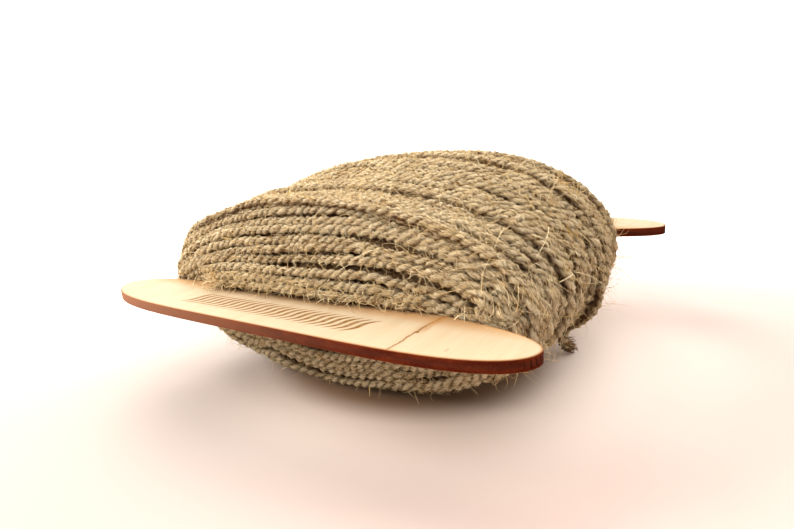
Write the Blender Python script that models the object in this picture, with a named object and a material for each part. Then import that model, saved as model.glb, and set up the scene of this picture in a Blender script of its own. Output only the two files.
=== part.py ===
"""A ball of rough natural twine wound on a flat plywood card.

Metres, +Z up. X runs along the card's two end bars, Y from the near bar to the far bar. The origin is on
the surface that the belly of the ball rests on, under the centre of the card.
"""

import math

import bmesh
import bpy
import numpy as np

MM = 0.001
WELD = 0.001 * MM

# The card: two long bars joined by a neck that the twine hides
PLY = 3.0 * MM
BAR_HALF_LENGTH = 74.0 * MM
BAR_OUTER_DEPTH = 12.3 * MM
BAR_INNER_DEPTH = 11.3 * MM
BAR_SPACING = 118.2 * MM
NECK_HALF_WIDTH = 44.0 * MM
NECK_FILLET = 6.0 * MM
OUTER_FULLNESS = 5.1
INNER_FULLNESS = 3.6
EDGE_STEPS = 15
FILLET_STEPS = 5

# The ball: the card's middle plane is this high over the surface, and the belly is pressed flat there
CARD_HEIGHT = 30.2 * MM
CLEARANCE = 0.3 * MM
RIGHT_FULLNESS = 2.1
BELLY_FULLNESS = 2.1

# The turns: each is a crest between two grooves, which fade out where the belly is pressed flat
TURN_PITCH = 2.9 * MM
GROOVE_DEPTH = 1.1 * MM
FADE_HEIGHT = 2.5 * MM
POINTS_ROUND = 40

# How far a turn strays along Y and in height, and how the straying shifts from turn to turn, in radians
TURN_SWAY = 0.8 * MM
SWAY_SHIFT = 1.9
SWAY_SWELL = 0.7
TURN_LIFT = 0.45 * MM
LIFT_SHIFT = 2.4
LIFT_SWING = 1.3

# One row for each section of the ball, in millimetres: its place along Y, half its width, its height over
# and its depth under the card's middle plane, how far its crown and its belly lie to the right, and how
# full its left shoulder is (2 is an ellipse, more is squarer)
SECTION_COLUMNS = ("y", "half_width", "height", "depth", "crown", "left_fullness")
SECTIONS = (
    (-54.0, 49.0, 4.7, 4.9, 0.0, 2.3),
    (-50.0, 61.5, 14.1, 14.5, -2.5, 2.3),
    (-41.0, 67.2, 27.9, 30.0, -6.5, 2.7),
    (-21.0, 66.8, 29.2, 31.2, -1.5, 2.45),
    (3.0, 67.3, 35.1, 31.4, -0.5, 2.1),
    (27.0, 64.6, 33.8, 30.8, 6.5, 2.2),
    (43.0, 59.3, 21.7, 21.0, 1.5, 2.2),
    (51.0, 50.4, 6.5, 6.0, 0.0, 2.2),
)
NEAR_END = SECTIONS[0][0] * MM
FAR_END = SECTIONS[-1][0] * MM

# The loose end. Its route is in millimetres: down the right flank, clear of the belly and to the surface
TWINE_DIAMETER = 3.0 * MM
LOOSE_END_STEP = 3.0 * MM
LOOSE_END_ROUTE = (
    (68.4, -0.8, 27.0),
    (67.5, 0.8, 21.8),
    (64.8, 1.9, 17.1),
    (61.0, 2.8, 13.3),
    (57.4, 4.2, 10.4),
    (55.1, 5.6, 7.4),
    (54.6, 6.8, 4.4),
    (55.7, 8.1, 1.8),
)

# Colour and roughness of each material
TWINE_COLOUR = (0.40, 0.31, 0.19, 1.0)
TWINE_ROUGHNESS = 0.95
BIRCH_COLOUR = (0.86, 0.68, 0.42, 1.0)
BIRCH_ROUGHNESS = 0.55

# Fine steps for reading normals and lengths off smooth curves
ANGLE_STEP = 0.001
PLACE_STEP = 0.1 * MM
FINE_POINTS = 400


def clear_scene():
    for old in list(bpy.data.objects):
        bpy.data.objects.remove(old)


def collection(name):
    made = bpy.data.collections.new(name)
    bpy.context.scene.collection.children.link(made)
    return made


def material(name, colour, roughness):
    made = bpy.data.materials.new(name)
    made.use_nodes = True
    shader = made.node_tree.nodes["Principled BSDF"]
    shader.inputs["Base Color"].default_value = colour
    shader.inputs["Roughness"].default_value = roughness
    shader.inputs["Metallic"].default_value = 0.0
    return made


def even_slopes(xs, values):
    """Slopes at the rows of a table that keep a curve through them from swinging past any row."""
    chords = np.diff(values, axis=0) / np.diff(xs)[:, None]
    before, after = chords[:-1], chords[1:]
    same_way = before * after > 0
    total = np.where(same_way, before + after, 1.0)
    inner = np.where(same_way, 2 * before * after / total, 0.0)
    return np.vstack((chords[:1], inner, chords[-1:]))


def read_curve(xs, values, slopes, x):
    """The smooth curve through the values at xs, with these slopes there, read at x."""
    i = int(np.clip(np.searchsorted(xs, x) - 1, 0, len(xs) - 2))
    gap = xs[i + 1] - xs[i]
    t = (x - xs[i]) / gap
    return (
        values[i] * (1 + 2 * t) * (1 - t) ** 2
        + values[i + 1] * t * t * (3 - 2 * t)
        + slopes[i] * gap * t * (1 - t) ** 2
        + slopes[i + 1] * gap * t * t * (t - 1)
    )


def distances(points):
    """How far along the line through the points each of them lies."""
    steps = np.linalg.norm(np.diff(points, axis=0), axis=1)
    return np.concatenate(([0.0], np.cumsum(steps)))


# The winding card

def bar_edge(half_length, depth, fullness, steps):
    """Points of one long edge of a bar, from its middle to its right tip, as distances from its axis."""
    points = []
    for i in range(steps + 1):
        angle = math.pi / 2 * (1 - i / steps)
        x = half_length * math.cos(angle) ** (2 / fullness)
        points.append((x, depth * math.sin(angle)))
    return points


def right_near_quarter(grow):
    """The card's outline from the middle of its near edge to the middle of its right side."""
    axis_y = -BAR_SPACING / 2
    half_length = BAR_HALF_LENGTH + grow
    neck = NECK_HALF_WIDTH + grow
    fillet = NECK_FILLET - grow
    outer = bar_edge(half_length, BAR_OUTER_DEPTH + grow, OUTER_FULLNESS, EDGE_STEPS)
    inner = bar_edge(half_length, BAR_INNER_DEPTH + grow, INNER_FULLNESS, EDGE_STEPS)
    points = [(x, axis_y - d) for x, d in outer]
    points += [(x, axis_y + d) for x, d in reversed(inner[:-1]) if x > neck + fillet]
    corner_x = neck + fillet
    share = (corner_x / half_length) ** INNER_FULLNESS
    corner_y = axis_y + (BAR_INNER_DEPTH + grow) * math.sqrt(1 - share)
    for i in range(FILLET_STEPS + 1):
        turn = math.pi / 2 * i / FILLET_STEPS
        x = corner_x - fillet * math.sin(turn)
        points.append((x, corner_y + fillet * (1 - math.cos(turn))))
    return points


def card_outline(grow=0.0):
    """The whole outline, anticlockwise. It is the same on both sides of both middle lines."""
    quarter = right_near_quarter(grow)
    right = quarter + [(x, -y) for x, y in reversed(quarter)]
    left = [(-x, y) for x, y in reversed(right) if x > 0]
    return right + left


def plate(name, outline, thickness, owner):
    """A flat plate: a filled outline with its middle plane at the card's height."""
    curve = bpy.data.curves.new(name, "CURVE")
    curve.dimensions = "2D"
    curve.fill_mode = "BOTH"
    curve.extrude = thickness / 2
    spline = curve.splines.new("POLY")
    spline.points.add(len(outline) - 1)
    for point, (x, y) in zip(spline.points, outline):
        point.co = (x, y, 0.0, 1.0)
    spline.use_cyclic_u = True
    made = bpy.data.objects.new(name, curve)
    made.location = (0.0, 0.0, CARD_HEIGHT)
    owner.objects.link(made)
    return made


def winding_card(owner, birch):
    card = plate("winding_card", card_outline(), PLY, owner)
    card.data.materials.append(birch)
    return card


def as_mesh(curve_object, owner):
    """The curve's solid as a mesh object with its caps welded, in the curve's place."""
    bpy.context.view_layer.update()
    evaluated = curve_object.evaluated_get(bpy.context.evaluated_depsgraph_get())
    mesh = bpy.data.meshes.new_from_object(evaluated)
    shape = bmesh.new()
    shape.from_mesh(mesh)
    bmesh.ops.remove_doubles(shape, verts=shape.verts, dist=WELD)
    shape.to_mesh(mesh)
    shape.free()
    made = bpy.data.objects.new(curve_object.name + "_solid", mesh)
    made.matrix_world = curve_object.matrix_world
    owner.objects.link(made)
    bpy.data.objects.remove(curve_object)
    return made


def card_space(owner):
    """The cutter that makes room for the card in the ball, with the clearance all round."""
    grown = plate("card_space", card_outline(CLEARANCE), PLY + 2 * CLEARANCE, owner)
    cutter = as_mesh(grown, owner)
    cutter.hide_render = True
    cutter.display_type = "WIRE"
    return cutter


# The wound ball

def section_at(y):
    """The named sizes of the ball's section at y, in metres, from the table."""
    rows = np.array(SECTIONS)
    places, sizes = rows[:, 0], rows[:, 1:]
    values = read_curve(places, sizes, even_slopes(places, sizes), y / MM)
    named = dict(zip(SECTION_COLUMNS[1:], values))
    for name in ("half_width", "height", "depth", "crown"):
        named[name] *= MM
    return named


def ball_point(y, angle):
    """A point of the smooth ball: angle 0 is the right side, a quarter turn is the crown."""
    size = section_at(y)
    across, up = math.cos(angle), math.sin(angle)
    over = up >= 0
    crown = size["crown"]
    reach = size["half_width"] - crown if across >= 0 else size["half_width"] + crown
    fullness = BELLY_FULLNESS
    if over:
        fullness = RIGHT_FULLNESS if across >= 0 else size["left_fullness"]
    rise = size["height"] if over else size["depth"]
    x = crown + reach * math.copysign(abs(across) ** (2 / fullness), across)
    z = CARD_HEIGHT + rise * math.copysign(abs(up) ** (2 / fullness), up)
    return np.array((x, y, z))


def outward(y, angle):
    """The unit normal of the smooth ball."""
    y0, y1 = max(NEAR_END, y - PLACE_STEP), min(FAR_END, y + PLACE_STEP)
    along = ball_point(y1, angle) - ball_point(y0, angle)
    around = ball_point(y, angle + ANGLE_STEP) - ball_point(y, angle - ANGLE_STEP)
    normal = np.cross(along, around)
    return normal / np.linalg.norm(normal)


def row_places():
    """Places along Y of the rows, which alternate between the grooves and the crests of the turns.

    They are evenly spaced along the outline over the crown, so the steep ends have as many turns to the
    millimetre as the crown.
    """
    ys = np.linspace(NEAR_END, FAR_END, FINE_POINTS)
    heights = np.array([section_at(y)["height"] for y in ys])
    travelled = distances(np.column_stack((ys, heights)))
    turns = round(travelled[-1] / TURN_PITCH)
    return np.interp(np.linspace(0, travelled[-1], 2 * turns + 1), travelled, ys)


def wound_ring(row, y):
    """The points of one row round the ball: a crest where the row's number is odd, else a groove."""
    turn = row // 2
    points = []
    for i in range(POINTS_ROUND):
        angle = 2 * math.pi * i / POINTS_ROUND
        sway = TURN_SWAY * math.sin(SWAY_SWELL * turn) * math.sin(2 * angle + SWAY_SHIFT * turn)
        place = min(max(y + sway, NEAR_END), FAR_END)
        smooth = ball_point(place, angle)
        lift = TURN_LIFT * math.sin(LIFT_SHIFT * turn + LIFT_SWING * math.cos(angle + turn))
        raised = lift if row % 2 else lift - GROOVE_DEPTH
        fade = min(max(smooth[2] / FADE_HEIGHT, 0.0), 1.0)
        point = smooth + outward(place, angle) * raised * fade
        point[2] = max(point[2], 0.0)
        points.append(point)
    return points


def wound_twine(owner, twine, cutter):
    """The ball, as one solid with its turns raised, cut out for the card."""
    shape = bmesh.new()
    rings = []
    for row, y in enumerate(row_places()):
        rings.append([shape.verts.new(point) for point in wound_ring(row, y)])
    for near, far in zip(rings, rings[1:]):
        for i in range(POINTS_ROUND):
            j = (i + 1) % POINTS_ROUND
            shape.faces.new((near[i], near[j], far[j], far[i]))
    shape.faces.new(rings[0])
    shape.faces.new(list(reversed(rings[-1])))
    bmesh.ops.recalc_face_normals(shape, faces=shape.faces)
    mesh = bpy.data.meshes.new("wound_twine")
    shape.to_mesh(mesh)
    shape.free()
    mesh.shade_smooth()
    mesh.materials.append(twine)
    ball = bpy.data.objects.new("wound_twine", mesh)
    owner.objects.link(ball)
    slot = ball.modifiers.new("card_slot", "BOOLEAN")
    slot.operation = "DIFFERENCE"
    slot.object = cutter
    return ball


# The loose end

def smooth_route(points, step):
    """Evenly spaced points on one smooth curve through the route's own points."""
    route = np.array(points) * MM
    along = distances(route)
    slopes = np.gradient(route, along, axis=0)
    fine = np.array([read_curve(along, route, slopes, s) for s in np.linspace(0, along[-1], FINE_POINTS)])
    travelled = distances(fine)
    wanted = np.linspace(0, travelled[-1], round(travelled[-1] / step) + 1)
    return np.column_stack([np.interp(wanted, travelled, fine[:, k]) for k in range(3)])


def loose_end(owner, twine):
    route = smooth_route(LOOSE_END_ROUTE, LOOSE_END_STEP)
    curve = bpy.data.curves.new("loose_end", "CURVE")
    curve.dimensions = "3D"
    curve.bevel_depth = TWINE_DIAMETER / 2
    curve.bevel_resolution = 2
    curve.use_fill_caps = True
    spline = curve.splines.new("POLY")
    spline.points.add(len(route) - 1)
    for point, place in zip(spline.points, route):
        point.co = (*place, 1.0)
    curve.materials.append(twine)
    made = bpy.data.objects.new("loose_end", curve)
    owner.objects.link(made)
    return made


def main():
    clear_scene()
    parts = collection("ball_of_twine")
    cutters = collection("cutters")
    twine = material("natural_twine", TWINE_COLOUR, TWINE_ROUGHNESS)
    birch = material("birch_plywood", BIRCH_COLOUR, BIRCH_ROUGHNESS)
    winding_card(parts, birch)
    wound_twine(parts, twine, card_space(cutters))
    loose_end(parts, twine)


if __name__ == "__main__":
    main()
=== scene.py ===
"""A ball of rough natural twine wound on a birch plywood card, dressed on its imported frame.

Metres, +Z up. X runs along the card's two end bars, Y from the near bar to the far bar, and the belly of
the ball rests on the floor at zero.
"""

import math

import bpy
import numpy as np
from bpy.props import FloatProperty, FloatVectorProperty, IntProperty, PointerProperty
from mathutils import Matrix, Vector


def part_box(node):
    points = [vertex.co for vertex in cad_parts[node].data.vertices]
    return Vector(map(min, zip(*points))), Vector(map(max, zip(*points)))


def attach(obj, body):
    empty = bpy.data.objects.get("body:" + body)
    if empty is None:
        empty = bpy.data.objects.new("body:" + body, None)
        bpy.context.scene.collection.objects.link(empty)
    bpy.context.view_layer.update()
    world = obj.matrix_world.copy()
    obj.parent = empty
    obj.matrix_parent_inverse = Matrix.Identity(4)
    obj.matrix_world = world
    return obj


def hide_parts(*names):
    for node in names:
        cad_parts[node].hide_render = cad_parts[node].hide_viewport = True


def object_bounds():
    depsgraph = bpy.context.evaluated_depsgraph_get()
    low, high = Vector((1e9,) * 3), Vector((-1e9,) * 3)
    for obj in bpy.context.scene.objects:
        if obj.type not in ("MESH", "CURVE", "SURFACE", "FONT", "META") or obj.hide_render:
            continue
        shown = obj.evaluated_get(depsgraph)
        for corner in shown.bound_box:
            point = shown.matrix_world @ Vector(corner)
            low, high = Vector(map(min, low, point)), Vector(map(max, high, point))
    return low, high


bl_info = {
    "name": "Ball of Twine",
    "version": (1, 0, 0),
    "blender": (4, 5, 0),
    "location": "View3D > Sidebar > Twine",
    "description": "Winds rough two-ply twine on a plywood card and sets a pale stage for it",
    "category": "Object",
}

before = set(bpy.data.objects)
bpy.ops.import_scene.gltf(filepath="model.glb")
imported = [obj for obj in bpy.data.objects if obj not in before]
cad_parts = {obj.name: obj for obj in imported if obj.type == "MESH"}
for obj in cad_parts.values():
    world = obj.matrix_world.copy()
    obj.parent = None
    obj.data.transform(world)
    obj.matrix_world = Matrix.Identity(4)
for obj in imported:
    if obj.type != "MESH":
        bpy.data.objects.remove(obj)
CAD_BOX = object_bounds()
CARD_LOW, CARD_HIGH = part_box("winding_card")

MM = 0.001
BODY = "root"

# The card, read off the frame
PLY = CARD_HIGH.z - CARD_LOW.z
CARD_HEIGHT = (CARD_HIGH.z + CARD_LOW.z) / 2
BAR_HALF_LENGTH = CARD_HIGH.x
BAR_AXIS = 59.1 * MM
BAR_INNER_DEPTH = 11.3 * MM
BAR_INNER_FULLNESS = 3.6

# One row for each section of the ball, in millimetres: its place along Y, half its width, its height over
# and its depth under the card's middle plane, how far its crown and its belly lie to the right, and how
# full its left shoulder is (2 is an ellipse, more is squarer)
SECTION_COLUMNS = ("y", "half_width", "height", "depth", "crown", "left_fullness")
SECTIONS = (
    (-54.0, 49.0, 4.7, 4.9, 0.0, 2.3),
    (-50.0, 61.5, 14.1, 14.5, -2.5, 2.3),
    (-41.0, 67.2, 27.9, 30.0, -6.5, 2.7),
    (-21.0, 66.8, 29.2, 31.2, -1.5, 2.45),
    (3.0, 67.3, 35.1, 31.4, -0.5, 2.1),
    (27.0, 64.6, 33.8, 30.8, 6.5, 2.2),
    (43.0, 59.3, 21.7, 21.0, 1.5, 2.2),
    (51.0, 50.4, 6.5, 6.0, 0.0, 2.2),
)
FULLNESS = 2.1
NEAR_END = SECTIONS[0][0] * MM
FAR_END = SECTIONS[-1][0] * MM

# The loose end's route, in millimetres: down the right flank and to the floor
LOOSE_END_ROUTE = (
    (68.4, -0.8, 27.0),
    (67.5, 0.8, 21.8),
    (64.8, 1.9, 17.1),
    (61.0, 2.8, 13.3),
    (57.4, 4.2, 10.4),
    (55.1, 5.6, 7.4),
    (54.6, 6.8, 4.4),
    (55.7, 8.1, 1.8),
)
LOOSE_END_POINTS = 200
LOOSE_END_OUTWARD = (1.0, 0.0, 0.2)
# A low tone, which paints the loose end darker as painted shade
LOOSE_END_TONE = 0.3
TIP_STEP = 12

# The fray at its tip: how many fibres, how they lean aside and onward, how their directions scatter, how far
# back they start, their spread at the root in radii of the twine, their sizes in millimetres and their form
FRAY_FIBRES = 260
FRAY_LEAN = (0.8, 0.5, 0.0)
FRAY_ONWARD = 0.6
FRAY_SCATTER = 0.2
FRAY_BACK = 3.5 * MM
FRAY_SPREAD = 0.6
FRAY_SPREAD_MOST = 1.6
FRAY = {"length": (1.0, 3.4), "radius": (0.12, 0.2), "curl": 0.3, "bow": 0.0, "segments": 4}

# How finely the strands are modelled
STRAND_SIDES = 10
RING_STEP = 0.65 * MM
LINE_POINTS = 900
ANGLE_STEP = 0.002
PLACE_STEP = 0.1 * MM

# How thin a strand is where its two plies meet, and how sharply they part there
LOBE_WAIST = 0.61
LOBE_POWER = 1.3

# Each turn starts under the belly
START_ANGLE = -math.pi / 2

# How uneven a strand is: how far its twist, its thickness, its plies and its tone wander, each with the
# length over which it does
TWIST_WANDER = (1.6, 6 * MM)
THICKNESS_WANDER = (0.12, 7 * MM)
PLY_WANDER = (0.13, 2.5 * MM)
TONE_WANDER = (0.25, 20 * MM)
SKIN_ROUGHNESS = 0.1
PLY_TONE = 0.1
FIBRE_OFFSET = 400

# The seeds of the random numbers
SEEDS = {"loose_end": 5, "turns": 11, "crossing": 23, "fibres": 37, "straw": 53, "arched": 71}

# How the turns stray: for each wave round the ball, how far it pushes a turn, how its phase starts, and how
# the phase moves from one turn to the next. Then how far each turn strays, rises and settles by itself
SWAYS = (
    (1, 0.9 * MM, 0.4, 0.13),
    (2, 1.0 * MM, 2.1, 0.17),
    (3, 0.6 * MM, 4.0, -0.22),
    (5, 0.25 * MM, 1.0, 0.31),
)
OWN_SWAY = 0.2 * MM
OWN_SWAYS = [(waves, OWN_SWAY) for waves in (2, 4, 6, 9)]
LIFT = 0.35 * MM
LIFTS = [(waves, LIFT / waves ** 0.5) for waves in (1, 2, 3, 6)]
SETTLE = 0.2 * MM
PITCH_SPREAD = 0.14

# Every other turn dips a little under its neighbours, most of all on the right flank, round this angle
DIP = 0.6 * MM
FLANK_DIP = 0.65 * MM
FLANK_ANGLE = math.radians(5)
FLANK_WIDTH = math.radians(48)
DIP_DRIFTS = ((5, 1.6), (9, 1.3))

# Where the turns rise or lie lower than the smooth ball: the place along the outline and its reach, the angle
# and its width in degrees, and the rise, in millimetres. They are beside the loose end, on the left shoulder
# with two rows, behind it and on the crown
SWELLS = (
    (74.0, 9.0, -38, 32, 1.3),
    (28.0, 11.0, 132, 17, -1.7),
    (26.0, 7.0, 116, 15, -1.5),
    (60.0, 12.0, 118, 10, 0.5),
    (84.0, 18.0, 86, 26, -1.1),
)

# The turns settle down between these two distances from the ends of the outline
STEADY_ENDS = 12 * MM
SETTLED_OVER = -2 * MM

# Gaps where the turns part. Each has how far it pushes them aside, in millimetres, and a line of places:
# the angle round the ball in degrees, and how far along the outline over the crown in millimetres
GAPS = (
    (1.3, ((62, 16.2), (43, 17.0), (27, 15.2), (14, 11.0))),
    (1.1, ((86, 8.4), (76, 8.4), (57, 10.7), (29, 12.7))),
    (0.4, ((94, 3.4), (66, 5.7))),
    (0.5, ((34, 74.0), (16, 77.0))),
    (0.5, ((39, 38.0), (18, 41.0))),
    (0.5, ((15, 67.4), (-6, 65.6))),
    (0.5, ((102, 20.0), (75, 22.3))),
    (0.4, ((205, 60.0), (160, 57.0))),
    (0.4, ((140, 98.0), (95, 102.0))),
    (1.0, ((-88, 21.0), (-98, 18.7), (-106, 15.5))),
    (0.5, ((-50, 19.0), (-70, 17.0))),
)
GAP_FADE = math.radians(12)
GAP_REACH = 3.5 * MM
GAP_FOLLOW = 8 * MM

# The near end lies further back at the right, round this angle
HOLLOW_ANGLE = math.radians(50)
HOLLOW_WIDTH = math.radians(22)
HOLLOW_DEPTH = 3.0 * MM
HOLLOW_REACH = 14 * MM

# The stage: how far the ball reaches over the paper, for the painted light round it and the painted shadow
# beneath it, and the middle of that shadow, the way to the sky's bright side and how its light fades in
# towards it, the colours of the sky and the lights, and the size of the paper
BELLY_REACH = (58 * MM, 44 * MM)
SHADED_MIDDLE = (8 * MM, -16 * MM, 0.0)
SKY_BRIGHT_SIDE = (-0.24, 0.42, 0.875)
SKY_RANGE = (0.03, 0.9)
SKY_COLOUR = (1.0, 0.985, 0.96)
LAMP_COLOUR = (1.0, 0.975, 0.94)
PAPER_SIZE = 40.0

# The lights: each one's name, place, size and the setting that holds its power
LAMPS = (
    ("light_behind", (-0.95, 0.5, 1.0), 0.9, "key_power"),
    ("light_left", (-0.9, -0.5, 0.5), 0.7, "fill_power"),
)

# The camera: its place, the way it looks, and its lens
CAMERA_PLACE = (0.1147, -0.16045, 0.08103)
CAMERA_AZIMUTH = math.radians(36.29)
CAMERA_ELEVATION = math.radians(15.12)
CAMERA_ROLL = math.radians(-5.48)
LENS_MM = 26.16
SENSOR_MM = 36.0


def srgb(red, green, blue):
    """A colour given in 0 to 255 as it looks on a screen, as linear values."""
    def linear(value):
        share = value / 255
        return share / 12.92 if share <= 0.04045 else ((share + 0.055) / 1.055) ** 2.4
    return (linear(red), linear(green), linear(blue))


def colour_property(name, description, default):
    return FloatVectorProperty(name=name, description=description, subtype="COLOR", size=3,
                               min=0.0, max=1.0, default=default)


def length_property(name, description, default):
    return FloatProperty(name=name, description=description, default=default, min=0.0,
                         subtype="DISTANCE", unit="LENGTH")


class TwineSettings(bpy.types.PropertyGroup):
    """Sizes and colours of the twine."""

    diameter: length_property("Diameter", "Thickness of the twine", 3.05 * MM)
    turn_pitch: length_property("Turn pitch", "Distance between neighbouring turns", 2.9 * MM)
    twist_pitch: length_property("Twist pitch", "Length in which the two plies turn once", 6.3 * MM)
    fuzz_fibres: IntProperty(name="Fuzz fibres", description="Short curled fibres on the twine",
                             default=29000, min=0)
    stray_fibres: IntProperty(name="Stray fibres", description="Longer fibres that stand off the twine",
                              default=6000, min=0)
    pale_hairs: IntProperty(name="Pale hairs", description="Thick pale fibres", default=1200, min=0)
    card_hairs: IntProperty(name="Card hairs", description="Fibres that lie on the card", default=420, min=0)
    straw_bits: IntProperty(name="Straw bits", description="Slivers of stalk left in the twine",
                            default=170, min=0)
    pale: colour_property("Pale fibre", "Colour of the sunlit fibres", srgb(244, 222, 182))
    middle: colour_property("Middle fibre", "Main colour of the twine", srgb(214, 182, 132))
    shade: colour_property("Shaded fibre", "Colour between the fibres", srgb(122, 80, 38))
    gold: colour_property("Golden fibre", "Colour of the golden patches", srgb(196, 150, 74))
    # Painted shade, laid low between the turns and in the grooves between the plies
    deep: colour_property("Deep shade", "Colour low between the turns", srgb(84, 45, 12))


class CardSettings(bpy.types.PropertyGroup):
    """Sizes and colours of the winding card."""

    rim_round: length_property("Rim round", "Rounding of the card's rims", 0.2 * MM)
    toast_width: length_property("Toast width", "How far the browning runs in from the rim", 0.9 * MM)
    birch: colour_property("Birch", "Colour of the card's faces", srgb(172, 152, 124))
    grain: colour_property("Grain", "Colour of the darker grain", srgb(162, 138, 106))
    burnt: colour_property("Burnt edge", "Colour of the laser-cut edge", srgb(104, 40, 16))
    scorched: colour_property("Scorched edge", "Darkest colour of the cut edge", srgb(62, 16, 5))
    engraved: colour_property("Engraving", "Colour of the engraved border", srgb(106, 68, 10))


class StageSettings(bpy.types.PropertyGroup):
    """The pale stage and its light."""

    paper: colour_property("Paper", "Colour of the paper behind", (0.80, 0.795, 0.78))
    blush: colour_property("Blush", "Colour of the paper in front, at the left", (0.37, 0.305, 0.268))
    rose: colour_property("Rose", "Colour of the paper in front, at the right", (0.485, 0.365, 0.32))
    # Painted light on the paper round the ball
    painted_fill_light: colour_property("Glow", "Colour of the paper round the ball", (0.92, 0.78, 0.69))
    # Painted shadow on the paper beneath the ball
    painted_contact_shadow: colour_property("Contact", "Colour of the paper beneath the ball", (0.28, 0.165, 0.09))
    key_power: FloatProperty(name="Key power", description="Power of the light behind, at the left",
                             default=22.0, min=0.0, unit="POWER")
    fill_power: FloatProperty(name="Fill power", description="Power of the light at the left",
                              default=18.0, min=0.0, unit="POWER")
    sky: FloatProperty(name="Bright sky", description="Light from the left, from behind and from above",
                       default=2.7, min=0.0)
    sky_dim: FloatProperty(name="Dim sky", description="Light from the camera's side", default=0.6, min=0.0)


# The shape of the ball

def even_slopes(xs, values):
    """Slopes at the rows of a table that keep a curve through them from swinging past any row."""
    chords = np.diff(values, axis=0) / np.diff(xs)[:, None]
    before, after = chords[:-1], chords[1:]
    same_way = before * after > 0
    total = np.where(same_way, before + after, 1.0)
    inner = np.where(same_way, 2 * before * after / total, 0.0)
    return np.vstack((chords[:1], inner, chords[-1:]))


def read_curve(xs, values, slopes, x):
    """The smooth curve through the values at xs, with these slopes there, read at each x."""
    i = np.clip(np.searchsorted(xs, x) - 1, 0, len(xs) - 2)
    gap = (xs[i + 1] - xs[i])[:, None]
    t = (x - xs[i])[:, None] / gap
    return (
        values[i] * (1 + 2 * t) * (1 - t) ** 2
        + values[i + 1] * t * t * (3 - 2 * t)
        + slopes[i] * gap * t * (1 - t) ** 2
        + slopes[i + 1] * gap * t * t * (t - 1)
    )


SECTION_PLACES = np.array(SECTIONS)[:, 0]
SECTION_SIZES = np.array(SECTIONS)[:, 1:]
SECTION_SLOPES = even_slopes(SECTION_PLACES, SECTION_SIZES)


def distances(points):
    """How far along the line through the points each of them lies."""
    steps = np.linalg.norm(np.diff(points, axis=0), axis=1)
    return np.concatenate(([0.0], np.cumsum(steps)))


def read_along(points, travelled, wanted):
    """The points of a line read again where the way travelled along it is as wanted."""
    return np.column_stack([np.interp(wanted, travelled, column) for column in points.T])


def section_at(y):
    """The named sizes of the ball's section at each y, in metres."""
    values = read_curve(SECTION_PLACES, SECTION_SIZES, SECTION_SLOPES, y / MM)
    named = dict(zip(SECTION_COLUMNS[1:], values.T))
    for name in ("half_width", "height", "depth", "crown"):
        named[name] = named[name] * MM
    return named


def ball_points(y, angle):
    """Points of the smooth ball: angle 0 is the right side, a quarter turn is the crown."""
    y = np.clip(y, NEAR_END, FAR_END)
    size = section_at(y)
    across, up = np.cos(angle), np.sin(angle)
    crown = size["crown"]
    reach = np.where(across >= 0, size["half_width"] - crown, size["half_width"] + crown)
    fullness = np.where((up >= 0) & (across < 0), size["left_fullness"], FULLNESS)
    rise = np.where(up >= 0, size["height"], size["depth"])
    x = crown + reach * np.sign(across) * np.abs(across) ** (2 / fullness)
    z = CARD_HEIGHT + rise * np.sign(up) * np.abs(up) ** (2 / fullness)
    return np.column_stack((x, y, z))


def unit(vectors):
    return vectors / np.maximum(np.linalg.norm(vectors, axis=-1, keepdims=True), 1e-12)


def outward(y, angle):
    """The unit normals of the smooth ball."""
    y = np.clip(y, NEAR_END + PLACE_STEP, FAR_END - PLACE_STEP)
    along = ball_points(y + PLACE_STEP, angle) - ball_points(y - PLACE_STEP, angle)
    around = ball_points(y, angle + ANGLE_STEP) - ball_points(y, angle - ANGLE_STEP)
    return unit(np.cross(along, around))


def crown_outline():
    """Fine places along Y and how far along the outline over the crown each of them lies."""
    ys = np.linspace(NEAR_END, FAR_END, LINE_POINTS)
    return ys, distances(np.column_stack((ys, section_at(ys)["height"])))


OUTLINE_Y, OUTLINE_LENGTH = crown_outline()


def smooth_step(low, high, value):
    share = np.clip((value - low) / (high - low), 0.0, 1.0)
    return share * share * (3 - 2 * share)


# How the line eases off the bars: how softly it bends beside them, the heights over the card's middle plane
# between which it no longer does, how squarely the flank faces aside there, and how soon it lies on a bar
BAR_SOFTNESS = 1.2 * MM
BAR_HEIGHTS = (4 * MM, 10 * MM)
BAR_FLANK = (0.6, 0.97)
BAR_ONSET = 1.5 * MM


def clear_of_bars(points, angle, radius):
    """The line moved so that it stays off the bars: beside them at the flanks, else on or under them."""
    share = np.clip(np.abs(points[:, 0]) / BAR_HALF_LENGTH, 0.0, 1.0)
    edge = BAR_AXIS - BAR_INNER_DEPTH * np.sqrt(1 - share ** BAR_INNER_FULLNESS) - radius
    over = np.abs(points[:, 1]) - edge
    eased = edge - BAR_SOFTNESS * np.log1p(np.exp(-over / BAR_SOFTNESS))
    moved = np.sign(points[:, 1]) * eased
    plane = 1 - smooth_step(*BAR_HEIGHTS, np.abs(points[:, 2] - CARD_HEIGHT))
    flank = smooth_step(*BAR_FLANK, np.abs(np.cos(angle))) * plane
    result = points.copy()
    result[:, 1] += flank * (moved - points[:, 1])
    above = result[:, 2] - CARD_HEIGHT
    least = PLY / 2 + radius
    short = np.maximum(least - np.abs(above), 0.0)
    over_bar = smooth_step(0.0, BAR_ONSET, np.abs(result[:, 1]) - edge)
    result[:, 2] += np.where(above >= 0, 1, -1) * short * over_bar
    return result


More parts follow.
